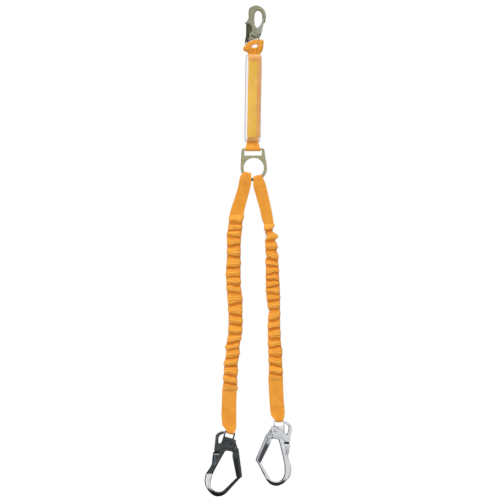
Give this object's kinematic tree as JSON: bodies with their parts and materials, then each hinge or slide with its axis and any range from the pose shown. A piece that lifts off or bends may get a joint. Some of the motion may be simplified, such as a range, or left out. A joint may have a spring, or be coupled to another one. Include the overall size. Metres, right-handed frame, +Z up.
{
  "type": "shock absorbing lanyard",
  "caption": "Fall arrest lanyard with a snap hook, a webbing energy absorber in a clear cover, a joining ring and elasticated webbing legs that end in large self-locking scaffold hooks.",
  "frame": {"origin": "bearing crown inside the harness snap hook, on the plate's mid plane", "axes": "+Z up the hanging lanyard, +X to the viewer's right, Y through the thickness of the metal plates"},
  "size_m": [0.2793, 0.03, 1.57],
  "materials": {
    "harness_hook_body": "yellow zinc plated steel, satin",
    "harness_gate_rivet": "dark plated steel",
    "harness_gate_spring": "spring steel wire",
    "harness_lock_rivet": "dark plated steel",
    "harness_lock_spring": "spring steel wire",
    "harness_gate": "zinc plated pressed steel",
    "harness_lock_lever": "dark plated steel",
    "top_webbing_loop": "woven orange polyester webbing",
    "tear_webbing_pack": "woven orange polyester webbing",
    "gold_label": "gold printed label, left blank",
    "clear_cover": "clear heat-shrunk film",
    "neck_webbing_loop": "woven orange polyester webbing",
    "leg_ring": "yellow zinc plated steel, satin",
    "left_upper_webbing": "woven orange polyester webbing",
    "left_gathered_sleeve": "woven orange polyester webbing",
    "left_elastic_core": "covered elastic band",
    "left_lower_webbing": "woven orange polyester webbing",
    "left_hook_body": "dark polished alloy",
    "left_gate_rivet": "dark polished alloy",
    "left_gate_spring": "spring steel wire",
    "left_lock_rivet": "dark polished alloy",
    "left_lock_spring": "spring steel wire",
    "left_gate": "dark polished alloy",
    "left_lock_lever": "dark polished alloy",
    "right_upper_webbing": "woven orange polyester webbing",
    "right_gathered_sleeve": "woven orange polyester webbing",
    "right_elastic_core": "covered elastic band",
    "right_lower_webbing": "woven orange polyester webbing",
    "right_hook_body": "bright polished alloy",
    "right_gate_rivet": "bright polished alloy",
    "right_gate_spring": "spring steel wire",
    "right_lock_rivet": "bright polished alloy",
    "right_lock_spring": "spring steel wire",
    "right_gate": "bright polished alloy",
    "right_lock_lever": "bright polished alloy"
  },
  "bodies": {
    "harness_hook": {"harness_hook_body": "harness_hook_body", "harness_gate_rivet": "harness_gate_rivet", "harness_gate_spring": "harness_gate_spring", "harness_lock_rivet": "harness_lock_rivet", "harness_lock_spring": "harness_lock_spring"},
    "harness_gate_leaf": {"harness_gate": "harness_gate"},
    "harness_lock_arm": {"harness_lock_lever": "harness_lock_lever"},
    "absorber": {"top_webbing_loop": "top_webbing_loop", "tear_webbing_pack": "tear_webbing_pack", "gold_label": "gold_label", "clear_cover": "clear_cover", "neck_webbing_loop": "neck_webbing_loop"},
    "ring": {"leg_ring": "leg_ring"},
    "left_leg": {"left_upper_webbing": "left_upper_webbing", "left_gathered_sleeve": "left_gathered_sleeve", "left_elastic_core": "left_elastic_core"},
    "left_leg_end": {"left_lower_webbing": "left_lower_webbing"},
    "left_scaffold_hook": {"left_hook_body": "left_hook_body", "left_gate_rivet": "left_gate_rivet", "left_gate_spring": "left_gate_spring", "left_lock_rivet": "left_lock_rivet", "left_lock_spring": "left_lock_spring"},
    "left_gate_leaf": {"left_gate": "left_gate"},
    "left_lock_arm": {"left_lock_lever": "left_lock_lever"},
    "right_leg": {"right_upper_webbing": "right_upper_webbing", "right_gathered_sleeve": "right_gathered_sleeve", "right_elastic_core": "right_elastic_core"},
    "right_leg_end": {"right_lower_webbing": "right_lower_webbing"},
    "right_scaffold_hook": {"right_hook_body": "right_hook_body", "right_gate_rivet": "right_gate_rivet", "right_gate_spring": "right_gate_spring", "right_lock_rivet": "right_lock_rivet", "right_lock_spring": "right_lock_spring"},
    "right_gate_leaf": {"right_gate": "right_gate"},
    "right_lock_arm": {"right_lock_lever": "right_lock_lever"}
  },
  "joints": [
    {"name": "harness_gate_open", "type": "hinge", "parent": "harness_hook", "child": "harness_gate_leaf", "pos_m": [0.0035, 0, -0.074], "axis": [0, -1, 0], "range_deg": [0, 24], "stiffness_Nm_per_rad": 0.08, "springref_deg": -20.05},
    {"name": "harness_lock_squeeze", "type": "hinge", "parent": "harness_hook", "child": "harness_lock_arm", "pos_m": [-0.034, 0, -0.0945], "axis": [0, 1, 0], "range_deg": [0, 6], "stiffness_Nm_per_rad": 0.1, "springref_deg": -5.73},
    {"name": "absorber_swing", "type": "hinge", "parent": "harness_hook", "child": "absorber", "pos_m": [-0.0147, 0, -0.1023], "axis": [0.9373, 0, 0.3486], "range_deg": [-40, 40]},
    {"name": "ring_swing", "type": "hinge", "parent": "absorber", "child": "ring", "pos_m": [-0.0144, 0, -0.44352], "axis": [1, 0, 0], "range_deg": [-60, 60]},
    {"name": "left_leg_swing", "type": "hinge", "parent": "ring", "child": "left_leg", "pos_m": [-0.01232, 0, -0.50336], "axis": [0, 1, 0], "range_deg": [0, 35], "stiffness_Nm_per_rad": 1},
    {"name": "left_leg_stretch", "type": "slide", "parent": "left_leg", "child": "left_leg_end", "axis": [0, 0, -1], "range_m": [0, 0.35], "stiffness_N_per_m": 60, "springref_m": -0.2, "deforming": ["left_gathered_sleeve", "left_elastic_core"]},
    {"name": "left_hook_swing", "type": "hinge", "parent": "left_leg_end", "child": "left_scaffold_hook", "pos_m": [-0.088, 0, -1.34816], "axis": [0.9636, 0, -0.2672], "range_deg": [-60, 60]},
    {"name": "left_gate_open", "type": "hinge", "parent": "left_scaffold_hook", "child": "left_gate_leaf", "pos_m": [-0.07018, 0, -1.40852], "axis": [0, 1, 0], "range_deg": [0, 30], "stiffness_Nm_per_rad": 0.1, "springref_deg": -20.05},
    {"name": "left_lock_squeeze", "type": "hinge", "parent": "left_scaffold_hook", "child": "left_lock_arm", "pos_m": [-0.0843, 0, -1.38271], "axis": [0, -1, 0], "range_deg": [0, 6], "stiffness_Nm_per_rad": 0.2, "springref_deg": -11.46},
    {"name": "right_leg_swing", "type": "hinge", "parent": "ring", "child": "right_leg", "pos_m": [-0.01232, 0, -0.50336], "axis": [0, -1, 0], "range_deg": [0, 35], "stiffness_Nm_per_rad": 1},
    {"name": "right_leg_stretch", "type": "slide", "parent": "right_leg", "child": "right_leg_end", "axis": [0, 0, -1], "range_m": [0, 0.35], "stiffness_N_per_m": 60, "springref_m": -0.2, "deforming": ["right_gathered_sleeve", "right_elastic_core"]},
    {"name": "right_hook_swing", "type": "hinge", "parent": "right_leg_end", "child": "right_scaffold_hook", "pos_m": [0.06816, 0, -1.3104], "axis": [1, 0, 0], "range_deg": [-60, 60]},
    {"name": "right_gate_open", "type": "hinge", "parent": "right_scaffold_hook", "child": "right_gate_leaf", "pos_m": [0.03486, 0, -1.3638], "axis": [0, -1, 0], "range_deg": [0, 30], "stiffness_Nm_per_rad": 0.1, "springref_deg": -20.05},
    {"name": "right_lock_squeeze", "type": "hinge", "parent": "right_scaffold_hook", "child": "right_lock_arm", "pos_m": [0.05536, 0, -1.3427], "axis": [0, 1, 0], "range_deg": [0, 6], "stiffness_Nm_per_rad": 0.2, "springref_deg": -11.46}
  ],
  "couplings": [
    {"joint": "harness_lock_squeeze", "follows": "harness_gate_open", "ratio": 0.25},
    {"joint": "left_lock_squeeze", "follows": "left_gate_open", "ratio": 0.2},
    {"joint": "right_lock_squeeze", "follows": "right_gate_open", "ratio": 0.2}
  ]
}
